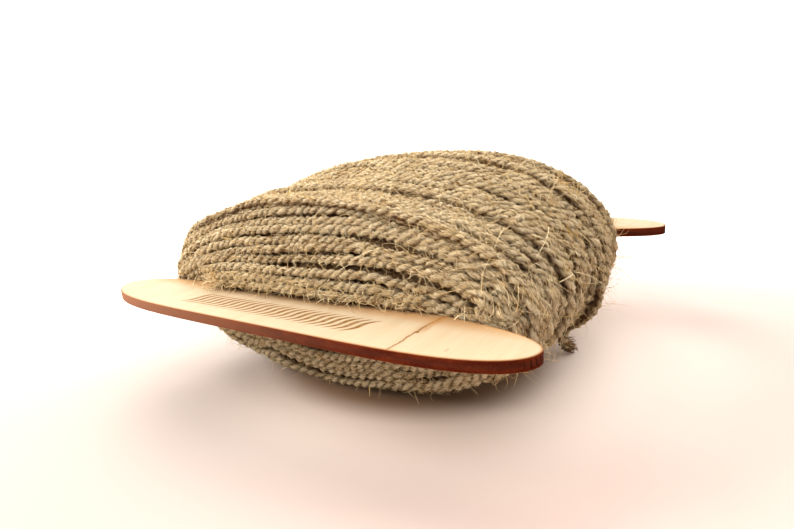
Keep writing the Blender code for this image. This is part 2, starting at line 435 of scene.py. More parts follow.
def gap_shift(place, angle):
    """How far the gaps push a turn along the outline, at each angle."""
    shift = np.zeros(len(angle))
    for push, line in GAPS:
        angles = np.radians([spot[0] for spot in line])[::-1]
        runs = np.array([spot[1] for spot in line])[::-1] * MM
        turned = (angle - angles[0] + math.pi / 2) % (2 * math.pi) + angles[0] - math.pi / 2
        window = smooth_step(angles[0] - GAP_FADE, angles[0], turned)
        window = window * (1 - smooth_step(angles[-1], angles[-1] + GAP_FADE, turned))
        away = place - runs[-1]
        follow = (np.interp(turned, angles, runs) - runs[-1]) * math.exp(-abs(away) / GAP_FOLLOW)
        aside = math.copysign(push * MM, away) * math.exp(-abs(away) / GAP_REACH)
        shift += window * (follow + aside)
    ends = smooth_step(0, STEADY_ENDS, place) * smooth_step(0, STEADY_ENDS, OUTLINE_LENGTH[-1] - place)
    return shift * ends


def hollow_shift(angle, along):
    """How far the near end lies back, at each angle and place along the outline."""
    near = 1 - smooth_step(0, HOLLOW_REACH, along)
    return HOLLOW_DEPTH * np.exp(-((angle - HOLLOW_ANGLE) / HOLLOW_WIDTH) ** 2) * near


def swell(place, angle):
    """How far the turns rise over the smooth ball, or lie lower, at each angle."""
    rise = np.zeros(len(angle))
    for middle, reach, facing, width, most in SWELLS:
        near = np.exp(-((place / MM - middle) / reach) ** 2)
        rise += most * MM * near * np.exp(-((np.degrees(angle) - facing) / width) ** 2)
    return rise


def random_waves(rng, angle, waves):
    """The sum of waves round the ball, each given as its count and its reach and put at a random phase."""
    total = np.zeros(len(angle))
    for count, reach in waves:
        total += reach * np.cos(count * angle + rng.uniform(0, 2 * math.pi))
    return total


def turn_line(place, turn, rng, radius):
    """The closed centre line of one turn and the outward direction at its points."""
    angle = START_ANGLE + np.linspace(0, 2 * math.pi, LINE_POINTS)
    total = OUTLINE_LENGTH[-1]
    steady = smooth_step(SETTLED_OVER, STEADY_ENDS, place)
    steady *= smooth_step(SETTLED_OVER, STEADY_ENDS, total - place)
    sway = random_waves(rng, angle, OWN_SWAYS)
    for waves, reach, phase, shift in SWAYS:
        sway += reach * np.cos(waves * angle + phase + shift * turn)
    along = np.clip(place + steady * sway + gap_shift(place, angle), 0.0, total)
    y = np.interp(along, OUTLINE_LENGTH, OUTLINE_Y)
    raised = random_waves(rng, angle, LIFTS) - radius - SETTLE
    on_flank = np.exp(-((angle - FLANK_ANGLE) / FLANK_WIDTH) ** 2)
    dipped = 0.5 - 0.5 * np.cos(math.pi * turn + random_waves(rng, angle, DIP_DRIFTS))
    raised -= steady * dipped * (DIP + FLANK_DIP * on_flank)
    raised += swell(place, angle)
    normals = outward(y, angle)
    points = ball_points(y, angle) + normals * raised[:, None]
    points[:, 1] += hollow_shift(angle, along)
    return clear_of_bars(points, angle, radius), normals


def even_rings(points, normals, count, closed):
    """The line's points and directions read again at evenly spaced places."""
    travelled = distances(points)
    wanted = np.linspace(0, travelled[-1], count, endpoint=not closed)
    return read_along(points, travelled, wanted), read_along(normals, travelled, wanted), wanted


def wander(rng, count, length, kind):
    """Slow changes along a strand of that many rings. The kind is their reach and the length they take."""
    reach, over = kind
    knots = max(round(length / over), 2)
    values = reach * rng.uniform(-1, 1, knots + 2)
    return np.interp(np.linspace(0, knots + 1, count), np.arange(knots + 2), values)


def twist_strand(points, normals, radius, twist_pitch, rng, closed, tone):
    """A two-ply strand round a line, with what the twine's finish reads at each of its points."""
    length = distances(points)[-1]
    count = max(round(length / RING_STEP), 8)
    centre, normal, run = even_rings(points, normals, count, closed)
    if closed:
        tangent = unit(np.roll(centre, -1, axis=0) - np.roll(centre, 1, axis=0))
    else:
        tangent = unit(np.gradient(centre, axis=0))
    normal = unit(normal - tangent * np.sum(normal * tangent, axis=1, keepdims=True))
    side = np.cross(tangent, normal)
    twists = round(length / twist_pitch)
    slack = np.sin(math.pi * run / length) ** 0.5 if closed else np.ones(count)
    turned = -2 * math.pi * twists * run / length
    turned = turned + slack * wander(rng, count, length, TWIST_WANDER)
    thickness = 1 + slack * wander(rng, count, length, THICKNESS_WANDER)
    spread = 2 * math.pi * np.arange(STRAND_SIDES) / STRAND_SIDES
    ply = spread[None, :] - turned[:, None]
    lobe = LOBE_WAIST + (1 - LOBE_WAIST) * np.abs(np.cos(ply)) ** LOBE_POWER
    lumps = [wander(rng, count, length, PLY_WANDER) for _ in range(2)]
    lumps = np.where(np.cos(ply) >= 0, lumps[0][:, None], lumps[1][:, None])
    rough = SKIN_ROUGHNESS * rng.standard_normal((count, STRAND_SIDES)).clip(-2, 2)
    reach = radius * lobe * thickness[:, None] * (1 + rough + lumps * slack[:, None])
    out = (
        normal[:, None, :] * np.cos(spread)[None, :, None]
        + side[:, None, :] * np.sin(spread)[None, :, None]
    )
    surface = centre[:, None, :] + out * reach[..., None]
    surface[..., 2] = np.maximum(surface[..., 2], 0.0)
    fibre_place = np.empty_like(surface)
    fibre_place[..., 0] = np.cos(spread)[None, :]
    fibre_place[..., 1] = np.sin(spread)[None, :]
    fibre_place[..., 2] = (run / MM)[:, None] + FIBRE_OFFSET * rng.uniform()
    streaks = tone + wander(rng, count, length, TONE_WANDER)
    tones = streaks[:, None] + PLY_TONE * (np.sign(np.cos(ply)) + lumps / PLY_WANDER[0])
    index = np.arange(count * STRAND_SIDES).reshape(count, STRAND_SIDES)
    onward = np.roll(index, -1, axis=0)
    if not closed:
        index, onward = index[:-1], onward[:-1]
    quads = np.stack((index, np.roll(index, -1, axis=1), np.roll(onward, -1, axis=1), onward), axis=-1)
    return {
        "points": surface.reshape(-1, 3),
        "quads": quads.reshape(-1, 4),
        "fibre_place": fibre_place.reshape(-1, 3),
        "strand_run": np.repeat(tangent, STRAND_SIDES, axis=0),
        "outward": out.reshape(-1, 3),
        "crest": np.sum(out * normal[:, None, :], axis=-1).reshape(-1),
        "ply_turn": np.stack((np.cos(ply), np.sin(ply), np.zeros_like(ply)), axis=-1).reshape(-1, 3),
        "tone": np.clip(tones.reshape(-1), 0, 1),
    }


def join_strands(strands):
    """Several strands as one set of arrays."""
    joined = {}
    for name in strands[0]:
        joined[name] = np.concatenate([strand[name] for strand in strands])
    starts = np.cumsum([0] + [len(strand["points"]) for strand in strands[:-1]])
    joined["quads"] = np.concatenate([strand["quads"] + start for strand, start in zip(strands, starts)])
    return joined


# Meshes

def mesh_piece(name, points, quads, triangles, surface):
    """A new smooth mesh object at the origin."""
    corners = np.concatenate((quads.ravel(), triangles.ravel())).astype(np.int32)
    sizes = np.concatenate((np.full(len(quads), 4), np.full(len(triangles), 3)))
    starts = np.concatenate(([0], np.cumsum(sizes)[:-1])).astype(np.int32)
    mesh = bpy.data.meshes.new(name)
    mesh.vertices.add(len(points))
    mesh.vertices.foreach_set("co", points.astype(np.float32).ravel())
    mesh.loops.add(len(corners))
    mesh.loops.foreach_set("vertex_index", corners)
    mesh.polygons.add(len(sizes))
    mesh.polygons.foreach_set("loop_start", starts)
    mesh.update(calc_edges=True)
    mesh.validate()
    mesh.shade_smooth()
    mesh.materials.append(surface)
    piece = bpy.data.objects.new(name, mesh)
    bpy.context.scene.collection.objects.link(piece)
    return piece


def mesh_points(piece):
    """Where the points of a piece's mesh are."""
    points = np.empty(len(piece.data.vertices) * 3, np.float32)
    piece.data.vertices.foreach_get("co", points)
    return points.reshape(-1, 3).astype(float)


def store(piece, name, values):
    """Values for the piece's points, kept as an attribute of its mesh."""
    vector = values.ndim == 2
    attribute = piece.data.attributes.new(name, "FLOAT_VECTOR" if vector else "FLOAT", "POINT")
    attribute.data.foreach_set("vector" if vector else "value", values.astype(np.float32).ravel())


def stored(piece, name):
    """The values that store() kept."""
    attribute = piece.data.attributes[name]
    vector = attribute.data_type == "FLOAT_VECTOR"
    values = np.empty(len(attribute.data) * (3 if vector else 1), np.float32)
    attribute.data.foreach_get("vector" if vector else "value", values)
    return values.reshape(-1, 3) if vector else values


def end_caps(first_point, point_count):
    """Triangle fans that close the two ends of one open strand."""
    first = np.arange(STRAND_SIDES) + first_point
    last = first + point_count - STRAND_SIDES
    fan = [(first[0], first[i + 1], first[i]) for i in range(1, STRAND_SIDES - 1)]
    fan += [(last[0], last[i], last[i + 1]) for i in range(1, STRAND_SIDES - 1)]
    return np.array(fan)


def strand_piece(name, strand, caps, surface):
    piece = mesh_piece(name, strand["points"], strand["quads"], caps, surface)
    for attribute in ("fibre_place", "strand_run", "outward", "crest", "ply_turn", "tone"):
        store(piece, attribute, strand[attribute])
    return piece


def only_select(piece):
    bpy.ops.object.select_all(action="DESELECT")
    piece.select_set(True)
    bpy.context.view_layer.objects.active = piece


def finish_piece(piece, slot, *nodes):
    """The piece rides with the body and may stand for nodes of the frame. The slot is not used."""
    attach(piece, BODY)
    if nodes:
        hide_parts(*nodes)


# Materials

def new_node(tree, kind, **settings):
    node = tree.nodes.new(kind)
    for name, value in settings.items():
        setattr(node, name, value)
    return node


def feed(tree, socket, value):
    """The socket takes a link from another socket or a reading, or a plain value."""
    if isinstance(value, Reading):
        value = value.socket
    if isinstance(value, bpy.types.NodeSocket):
        tree.links.new(value, socket)
    else:
        socket.default_value = value


class Reading:
    """A number that changes over a surface. Arithmetic with readings adds the nodes that work it out."""

    def __init__(self, tree, socket):
        self.tree = tree
        self.socket = socket

    def calculate(self, operation, other=0.0):
        node = new_node(self.tree, "ShaderNodeMath", operation=operation)
        feed(self.tree, node.inputs[0], self)
        feed(self.tree, node.inputs[1], other)
        return Reading(self.tree, node.outputs[0])

    def __add__(self, other):
        return self.calculate("ADD", other)

    def __sub__(self, other):
        return self.calculate("SUBTRACT", other)

    def __mul__(self, other):
        return self.calculate("MULTIPLY", other)

    def __truediv__(self, other):
        return self.calculate("DIVIDE", other)

    def __pow__(self, other):
        return self.calculate("POWER", other)

    def __abs__(self):
        return self.calculate("ABSOLUTE")

    def or_more(self, other):
        return self.calculate("MAXIMUM", other)

    def ramp(self, low, high, to_low=0.0, to_high=1.0):
        """Goes smoothly from to_low where the reading is low to to_high where it is high."""
        node = new_node(self.tree, "ShaderNodeMapRange", interpolation_type="SMOOTHSTEP")
        for label, value in (("Value", self), ("From Min", low), ("From Max", high),
                             ("To Min", to_low), ("To Max", to_high)):
            feed(self.tree, node.inputs[label], value)
        return Reading(self.tree, node.outputs["Result"])

    def band(self, centre, half_width, soft):
        """1 where the reading lies within half_width of the centre, fading out over soft."""
        return abs(self - centre).ramp(half_width, half_width + soft, 1.0, 0.0)


def vector_step(tree, operation, first, second=(0.0, 0.0, 0.0)):
    """One step of arithmetic with vectors."""
    node = new_node(tree, "ShaderNodeVectorMath", operation=operation)
    feed(tree, node.inputs[0], first)
    feed(tree, node.inputs[1], second)
    return node


def stretch(tree, vector, factors):
    return vector_step(tree, "MULTIPLY", vector, factors).outputs["Vector"]


def length_of(tree, vector):
    return Reading(tree, vector_step(tree, "LENGTH", vector).outputs["Value"])


def split_vector(tree, vector):
    """The readings along X, Y and Z."""
    node = new_node(tree, "ShaderNodeSeparateXYZ")
    feed(tree, node.inputs[0], vector)
    return [Reading(tree, socket) for socket in node.outputs]


def object_place(tree):
    return new_node(tree, "ShaderNodeTexCoord").outputs["Object"]


def noise(tree, vector, scale, detail=3.0, roughness=0.55):
    node = new_node(tree, "ShaderNodeTexNoise")
    feed(tree, node.inputs["Vector"], vector)
    node.inputs["Scale"].default_value = scale
    node.inputs["Detail"].default_value = detail
    node.inputs["Roughness"].default_value = roughness
    return Reading(tree, node.outputs["Fac"])


def mix_colours(tree, amount, low, high):
    node = new_node(tree, "ShaderNodeMix", data_type="RGBA", clamp_factor=True)
    feed(tree, node.inputs[0], amount)
    for socket, colour in ((node.inputs[6], low), (node.inputs[7], high)):
        feed(tree, socket, colour if isinstance(colour, bpy.types.NodeSocket) else (*colour, 1.0))
    return node.outputs[2]


def paint(tree, colour, *layers):
    """The colour with others laid over it in turn, each where its mask says."""
    for mask, over in layers:
        colour = mix_colours(tree, mask, colour, over)
    return colour


def read_attribute(tree, name, output="Fac"):
    return Reading(tree, new_node(tree, "ShaderNodeAttribute", attribute_name=name).outputs[output])


def bump(tree, height, distance, strength):
    node = new_node(tree, "ShaderNodeBump")
    node.inputs["Strength"].default_value = strength
    node.inputs["Distance"].default_value = distance
    feed(tree, node.inputs["Height"], height)
    return node.outputs["Normal"]


def blank_material(name):
    """A new material, its node tree and its shader."""
    made = bpy.data.materials.new(name)
    made.use_nodes = True
    tree = made.node_tree
    return made, tree, tree.nodes["Principled BSDF"]


def new_group(name, inputs, outputs):
    """A node group with these sockets, and its inner input and output nodes."""
    group = bpy.data.node_groups.new(name, "ShaderNodeTree")
    for label, kind in inputs:
        group.interface.new_socket(name=label, in_out="INPUT", socket_type=kind)
    for label, kind in outputs:
        group.interface.new_socket(name=label, in_out="OUTPUT", socket_type=kind)
    return group, new_node(group, "NodeGroupInput"), new_node(group, "NodeGroupOutput")


def use_group(tree, group, **inputs):
    """The readings that the group puts out, by name."""
    node = new_node(tree, "ShaderNodeGroup", node_tree=group)
    for label, value in inputs.items():
        feed(tree, node.inputs[label], value)
    return {socket.name: Reading(tree, socket) for socket in node.outputs}


# The streaks of the fibres: how fine each kind is across and along the ply, its detail and its roughness
STREAKS = {
    "Broad": (2.2, 0.28, 4.0, 0.6),
    "Fine": (7.0, 0.8, 3.0, 0.6),
    "Patches": (0.5, 0.07, 2.0, 0.5),
}
STREAK_RANGE = (0.36, 0.64)


def fibre_streaks_group():
    """Streaks that run along a ply, broad and fine, from a place given across and along it."""
    found = bpy.data.node_groups.get("fibre_streaks")
    if found:
        return found
    group, given, made = new_group("fibre_streaks", (("Place", "NodeSocketVector"),),
                                   [(label, "NodeSocketFloat") for label in STREAKS])
    for label, (across, along, detail, roughness) in STREAKS.items():
        place = stretch(group, given.outputs["Place"], (across, across, along))
        feed(group, made.inputs[label], noise(group, place, 1.0, detail, roughness))
    return group


def twine_material():
    """Pale, middle and shaded fibres in streaks along each ply, painted shade low between turns and plies."""
    found = bpy.data.materials.get("hemp_turns")
    if found:
        return found
    twine = bpy.context.scene.twine_ball
    made, tree, shader = blank_material("hemp_turns")
    streaks = use_group(tree, fibre_streaks_group(), Place=read_attribute(tree, "fibre_place", "Vector"))
    broad = streaks["Broad"].ramp(*STREAK_RANGE)
    fine = streaks["Fine"].ramp(*STREAK_RANGE)
    ply_way = vector_step(tree, "NORMALIZE", read_attribute(tree, "ply_turn", "Vector")).outputs["Vector"]
    from_split = abs(split_vector(tree, ply_way)[0]) + (fine - 0.5) * 0.5
    # Painted shade in the grooves between the two plies: the groove mask darkens the streaks and takes the
    # deep colour
    groove = from_split.ramp(-0.05, 0.75, 1.0, 0.0)
    lit = (broad + fine) * 0.5 + (read_attribute(tree, "tone") - 0.5) * 0.5 - groove * 0.25
    dark = mix_colours(tree, lit.ramp(-0.1, 0.3), twine.shade, twine.middle)
    colour = mix_colours(tree, lit.ramp(0.2, 0.72), dark, twine.pale)
    golden = streaks["Patches"].ramp(0.6, 0.74, 0.0, 0.3)
    colour = mix_colours(tree, golden, colour, twine.gold)
    # Painted shade: the deep colour where the skin faces away from the ball's outside, low between the turns,
    # and in the grooves, broken up by noise
    open_share = noise(tree, object_place(tree), 130.0, 2.0).ramp(0.38, 0.6, 0.7, 1.0)
    sunk = read_attribute(tree, "crest").ramp(-0.3, 0.78, 0.88, 0.0) * open_share
    sunk = sunk.or_more(groove * open_share * 0.6)
    feed(tree, shader.inputs["Base Color"], mix_colours(tree, sunk, colour, twine.deep))
    feed(tree, shader.inputs["Roughness"], fine.ramp(0.0, 1.0, 0.95, 0.75))
    shader.inputs["Specular IOR Level"].default_value = 0.0
    height = broad * 0.5 + fine * 0.5 - groove * 0.9
    feed(tree, shader.inputs["Normal"], bump(tree, height, 0.7 * MM, 1.0))
    return made


def fibre_material(name, low, high):
    """Thin single fibres, each with its own tone, a little blotchy along their length."""
    made, tree, shader = blank_material(name)
    blotches = noise(tree, object_place(tree), 600.0, 2.0).ramp(0.35, 0.65, -0.15, 0.15)
    tone = read_attribute(tree, "tone") + blotches
    feed(tree, shader.inputs["Base Color"], mix_colours(tree, tone, low, high))
    shader.inputs["Roughness"].default_value = 0.7
    shader.inputs["Specular IOR Level"].default_value = 0.1
    return made


# The card's finish, in millimetres: its top and its middle plane, the near bar's marks and the rope border
CARD_TOP = (CARD_HEIGHT + PLY / 2) / MM
CARD_MIDDLE = CARD_HEIGHT / MM
STREAK_FOOT = (43.8, -71.3)
STREAK_LEAN = 0.062
STREAK_WAVER = 1.5
KNOT = (44.7, -60.0)
FLECK = (56.0, -66.0)
BORDER_MIDDLE = (-1.5, -61.8)
BORDER_HALF_LENGTH = 32.5
BORDER_HALF_WIDTH = 4.6
BORDER_STROKE = 0.72
BORDER_PITCH = 2.7
BORDER_LEAN = 3.4
BORDER_BEND = 0.9
BORDER_TURN = 3.0


def rope_border(x, y):
    """A mask of S-shaped strokes in a long row, like the plies of a twisted rope."""
    across = (y - BORDER_MIDDLE[1]) / BORDER_HALF_WIDTH
    bent = (across * BORDER_TURN).calculate("SINE") * BORDER_BEND
    slanted = x - across * BORDER_LEAN + bent
    from_stroke = slanted.calculate("PINGPONG", BORDER_PITCH / 2) + across ** 4.0 * BORDER_STROKE
    strokes = from_stroke.ramp(BORDER_STROKE * 0.6, BORDER_STROKE * 1.4, 1.0, 0.0)
    ends = slanted.band(BORDER_MIDDLE[0], BORDER_HALF_LENGTH, 0.3)
    return strokes * across.band(0.0, 0.97, 0.03) * ends


def add_marks(tree, place, top, colour):
    """Lays the near bar's streak with its halo, the knot and the fleck over the colour."""
    x, y, _ = split_vector(tree, place)
    on_near_top = top * y.band(-60.0, 11.0, 1.5)
    waver = (noise(tree, place, 0.28, 2.0) - 0.5) * STREAK_WAVER
    lean = (y - STREAK_FOOT[1]) * STREAK_LEAN
    from_streak = x - (lean + waver) - STREAK_FOOT[0]
    halo = from_streak.band(0.5, 0.5, 1.3) * y.ramp(-62.0, -57.0)
    knot = ((x - KNOT[0]) ** 2.0 + (y - KNOT[1]) ** 2.0).ramp(0.1, 0.6, 1.0, 0.0)
    fleck = x.band(FLECK[0], 0.12, 0.3) * y.band(FLECK[1], 0.5, 0.7)
    dark = (from_streak.band(0.0, 0.1, 0.32) * 0.85).or_more(knot).or_more(fleck * 0.35)
    return paint(tree, colour, (halo * 0.6 * on_near_top, srgb(150, 108, 62)),
                 (dark * on_near_top, srgb(112, 72, 32)))


def cut_edge(tree, place, speckle):
    """The burnt edge: sooty, darker in its middle ply, redder at its rims, with painted light towards the
    left.
    """
    card = bpy.context.scene.winding_card
    x, _, z = split_vector(tree, place)
    soot = noise(tree, stretch(tree, place, (0.12, 0.12, 0.5)), 1.0).ramp(0.38, 0.62)
    burnt = mix_colours(tree, (soot + speckle) * 0.5, card.scorched, card.burnt)
    middle_ply = z.band(CARD_MIDDLE, 0.45, 0.15) * 0.3
    # Painted light: the edge is drawn paler towards the left, where more light falls on it
    painted_light_left = x.ramp(-74.0, 45.0, 0.8, 0.0)
    rim = abs(z - CARD_MIDDLE).ramp(1.15, 1.45) * 0.75
    return paint(tree, burnt, (middle_ply, srgb(70, 40, 30)), (painted_light_left, srgb(160, 110, 82)),
                 (rim, srgb(118, 50, 16)))


def birch_material():
    """Pale birch with faint grain along Y, burnt cut edges, toasted rims, the near bar's marks and painted
    twine shade and bounce.
    """
    card = bpy.context.scene.winding_card
    made, tree, shader = blank_material("birch_plywood")
    place = stretch(tree, object_place(tree), (1 / MM, 1 / MM, 1 / MM))
    x, y, z = split_vector(tree, place)
    broad = noise(tree, stretch(tree, place, (0.3, 0.03, 0.3)), 1.0, 4.0).ramp(0.35, 0.7)
    fine = noise(tree, stretch(tree, place, (2.6, 0.14, 2.6)), 1.0).ramp(0.45, 0.75)
    top = z.ramp(CARD_TOP - 0.3, CARD_TOP - 0.1)
    colour = mix_colours(tree, broad * 0.4 + fine * 0.2, card.birch, card.grain)
    colour = add_marks(tree, place, top, colour)

    border = rope_border(x, y) * top
    uneven = noise(tree, place, 0.9).ramp(0.3, 0.7, 0.7, 1.0)
    # Painted shade and warm reflected light from the twine, on the card's top beside it at both bars
    painted_shade_and_bounce = abs(y).ramp(51.0, 57.0, 0.6, 0.0) * top
    toast = read_attribute(tree, "toast").ramp(0.35, 1.0, 0.0, 0.75)
    colour = paint(tree, colour, (border * uneven, card.engraved), (painted_shade_and_bounce, srgb(168, 118, 62)),
                   (toast, srgb(146, 98, 52)))

    facing = split_vector(tree, new_node(tree, "ShaderNodeNewGeometry").outputs["Normal"])
    side = abs(facing[2]).ramp(0.35, 0.9, 1.0, 0.0)
    flat = abs(facing[2]).ramp(0.35, 0.9)
    speckle = noise(tree, stretch(tree, place, (2.4, 2.4, 3.5)), 1.0).ramp(0.3, 0.75)
    colour = mix_colours(tree, side, colour, cut_edge(tree, place, speckle))
    feed(tree, shader.inputs["Base Color"], colour)
    feed(tree, shader.inputs["Roughness"], side * 0.3 + fine * 0.1 + 0.5)
    shader.inputs["Specular IOR Level"].default_value = 0.04
    relief = fine * flat * 0.12 - border + speckle * side * 0.3
    feed(tree, shader.inputs["Normal"], bump(tree, relief, 0.12 * MM, 0.7))
    return made


def paper_material():
    """Paper with a fine tooth: warm in front of the ball, painted light beside it, painted shadow beneath,
    plain far off.
    """
    stage = bpy.context.scene.twine_stage
    made, tree, shader = blank_material("stage_paper")
    place = object_place(tree)
    x, y, _ = split_vector(tree, place)
    front = mix_colours(tree, x.ramp(-0.03, 0.11), stage.blush, stage.rose)
    behind = (y * 0.8 - x * 0.6).ramp(-0.05, 0.3)
    far_off = length_of(tree, place).ramp(0.4, 1.0)
    in_reaches = (1 / BELLY_REACH[0], 1 / BELLY_REACH[1], 0.0)
    from_ball = length_of(tree, stretch(tree, place, in_reaches))
    # Painted light: the paper is paler round the ball, to lift the shade there
    beside = from_ball.ramp(1.0, 2.1, 1.0, 0.0) * x.ramp(-0.06, 0.02)
    from_middle = vector_step(tree, "SUBTRACT", place, SHADED_MIDDLE).outputs["Vector"]
    # Painted shadow: the paper darkens beneath the ball, round the middle of its shade
    beneath = length_of(tree, stretch(tree, from_middle, in_reaches)).ramp(0.62, 0.95, 1.0, 0.0)
    colour = paint(tree, front, (behind, stage.paper), (far_off, stage.paper), (beside, stage.painted_fill_light),
                   (beneath, stage.painted_contact_shadow))
    feed(tree, shader.inputs["Base Color"], colour)
    shader.inputs["Roughness"].default_value = 0.9
    feed(tree, shader.inputs["Normal"], bump(tree, noise(tree, place, 900.0), 0.05 * MM, 0.15))
    return made


# Operators

# How squarely a face looks up or down when it is no part of the cut edge, and when it is quite flat
FACE_LEAST = 0.9
FACE_FLAT = 0.999

# How near points are merged, how flat a bend is taken out, a rim's steps, and how sharp a bend stays sharp
MERGE_REACH = 0.001 * MM
FLAT_BEND = math.radians(0.5)
RIM_STEPS = 2
SHARP_BEND = math.radians(40)


class TWINE_OT_winding_card(bpy.types.Operator):
    """Copy the card off the frame, round its rims and give it birch with burnt edges"""

    bl_idname = "twine.winding_card"
    bl_label = "Winding Card"

    def execute(self, context):
        settings = context.scene.winding_card
        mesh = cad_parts["winding_card"].data.copy()
        card = bpy.data.objects.new("birch_winding_card", mesh)
        context.scene.collection.objects.link(card)
        only_select(card)
        bpy.ops.object.mode_set(mode="EDIT")
        bpy.ops.mesh.select_all(action="SELECT")
        bpy.ops.mesh.remove_doubles(threshold=MERGE_REACH)
        bpy.ops.mesh.dissolve_limited(angle_limit=FLAT_BEND)
        bpy.ops.mesh.select_all(action="DESELECT")
        bpy.ops.object.mode_set(mode="OBJECT")
        for face in mesh.polygons:
            face.select = abs(face.normal.z) > FACE_LEAST
        bpy.ops.object.mode_set(mode="EDIT")
        bpy.ops.mesh.inset(thickness=settings.toast_width, use_individual=True)
        bpy.ops.mesh.select_mode(type="EDGE")
        bpy.ops.mesh.select_all(action="DESELECT")
        bpy.ops.object.mode_set(mode="OBJECT")
        self.select_rims(mesh)
        bpy.ops.object.mode_set(mode="EDIT")
        bpy.ops.mesh.bevel(offset=settings.rim_round, segments=RIM_STEPS, affect="EDGES")
        bpy.ops.object.mode_set(mode="OBJECT")
        bpy.ops.object.shade_smooth_by_angle(angle=SHARP_BEND)
        flat_only = np.ones(len(mesh.vertices), bool)
        for face in mesh.polygons:
            if abs(face.normal.z) < FACE_FLAT:
                flat_only[list(face.vertices)] = False
        store(card, "toast", np.where(flat_only, 0.0, 1.0))
        mesh.materials.clear()
        mesh.materials.append(birch_material())
        finish_piece(card, "birch_ply", "winding_card")
        return {"FINISHED"}

    @staticmethod
    def select_rims(mesh):
        """Selects the edges between a wall and a face of the card."""
        kinds = {}
        for face in mesh.polygons:
            for key in face.edge_keys:
                kinds.setdefault(key, set()).add(abs(face.normal.z) > FACE_LEAST)
        for edge in mesh.edges:
            edge.select = len(kinds[edge.key]) == 2


# The inner windings: how finely they are modelled, how deep they lie, in twine diameters, how far their rows
# of turns wave, how high their ridges are, how far they keep from the bars, the floor and the ends, and what
# their finish reads: how much painted shade they take, how fast their plies turn and their tone
INNER_SEGMENTS = 150
INNER_RINGS = 150
INNER_DEPTH = 0.88
INNER_WAVES = ((2, 0.25), (5, 0.2))
INNER_RIDGE = 0.5 * MM
INNER_SPARE = 0.4 * MM
INNER_END = 0.5 * MM
INNER_POLE = 1.5 * MM
INNER_CREST = (0.25, 0.35)
INNER_TWIST = 1.3
INNER_TONE = 0.3


class TWINE_OT_inner_winding(bpy.types.Operator):
    """Add the lower windings, which show between the turns"""

    bl_idname = "twine.inner_winding"
    bl_label = "Inner Winding"

    def execute(self, context):
        twine = context.scene.twine_ball
        bpy.ops.object.select_all(action="DESELECT")
        bpy.ops.mesh.primitive_uv_sphere_add(segments=INNER_SEGMENTS, ring_count=INNER_RINGS, radius=1.0,
                                             location=(0, 0, 0))
        core = context.object
        core.name = "inner_windings"
        core.data.name = core.name
        points = mesh_points(core)
        polar = np.arccos(np.clip(points[:, 2], -1, 1)) / math.pi
        angle = np.arctan2(points[:, 1], points[:, 0])
        share = np.clip((polar * INNER_RINGS - 1) / (INNER_RINGS - 2), 0, 1)
        run = INNER_END + share * (OUTLINE_LENGTH[-1] - 2 * INNER_END)
        y = np.interp(run, OUTLINE_LENGTH, OUTLINE_Y)
        turn = run / twine.turn_pitch
        for waves, reach in INNER_WAVES:
            turn += reach * np.sin(waves * angle)
        phase = 2 * math.pi * turn
        ridge = np.cos(phase)
        sunk = INNER_RIDGE * (ridge - 1) - INNER_DEPTH * twine.diameter
        placed = ball_points(y, angle) + outward(y, angle) * sunk[:, None]
        placed[:, 1] += hollow_shift(angle, run)
        placed = clear_of_bars(placed, angle, INNER_SPARE)
        placed[:, 2] = np.maximum(placed[:, 2], INNER_SPARE)
        for pole in (polar < 0.5 / INNER_RINGS, polar > 1 - 0.5 / INNER_RINGS):
            end = y[pole][0]
            placed[pole] = (0, end - math.copysign(INNER_POLE, end), CARD_HEIGHT)
        core.data.vertices.foreach_set("co", placed.astype(np.float32).ravel())
        core.data.update()
        only_select(core)
        bpy.ops.object.mode_set(mode="EDIT")
        bpy.ops.mesh.select_all(action="SELECT")
        bpy.ops.mesh.normals_make_consistent(inside=False)
        bpy.ops.object.mode_set(mode="OBJECT")
        bpy.ops.object.shade_smooth()
        store(core, "fibre_place", np.column_stack((ridge, np.sin(phase), placed[:, 0] / MM)))
        store(core, "crest", INNER_CREST[0] * ridge - INNER_CREST[1])
        ply = placed[:, 0] / MM * INNER_TWIST + phase
        store(core, "ply_turn", np.column_stack((np.cos(ply), np.sin(ply), np.zeros(len(ply)))))
        store(core, "tone", np.full(len(placed), INNER_TONE))
        core.data.materials.append(twine_material())
        finish_piece(core, "hemp_twine", "wound_twine")
        return {"FINISHED"}


# The pieces that the turns are parted into, the thickness of a turn beside the twine's, and its tone
TURN_PIECES = ("near_turns", "crown_turns", "far_turns")
TURN_THICKNESSES = (0.92, 1.06)
TURN_TONES = (0.4, 0.7)


class TWINE_OT_outer_turns(bpy.types.Operator):
    """Wind the outer turns of two-ply twine side by side over the ball"""

    bl_idname = "twine.outer_turns"
    bl_label = "Outer Turns"

    def execute(self, context):
        twine = context.scene.twine_ball
        rng = np.random.default_rng(SEEDS["turns"])
        count = round(OUTLINE_LENGTH[-1] / twine.turn_pitch) + 1
        gaps = 1 + PITCH_SPREAD * rng.uniform(-1, 1, count - 1)
        places = np.concatenate(([0.0], np.cumsum(gaps))) / gaps.sum() * OUTLINE_LENGTH[-1]
        strands = []
        for turn, place in enumerate(places):
            radius = twine.diameter / 2 * rng.uniform(*TURN_THICKNESSES)
            line, normals = turn_line(place, turn, rng, radius)
            tone = rng.uniform(*TURN_TONES)
            strands.append(twist_strand(line, normals, radius, twine.twist_pitch, rng, True, tone))
        surface = twine_material()
        for name, group in zip(TURN_PIECES, np.array_split(np.arange(count), len(TURN_PIECES))):
            joined = join_strands([strands[i] for i in group])
            piece = strand_piece(name, joined, np.empty((0, 3), int), surface)
            finish_piece(piece, "hemp_twine", "wound_twine")
        return {"FINISHED"}


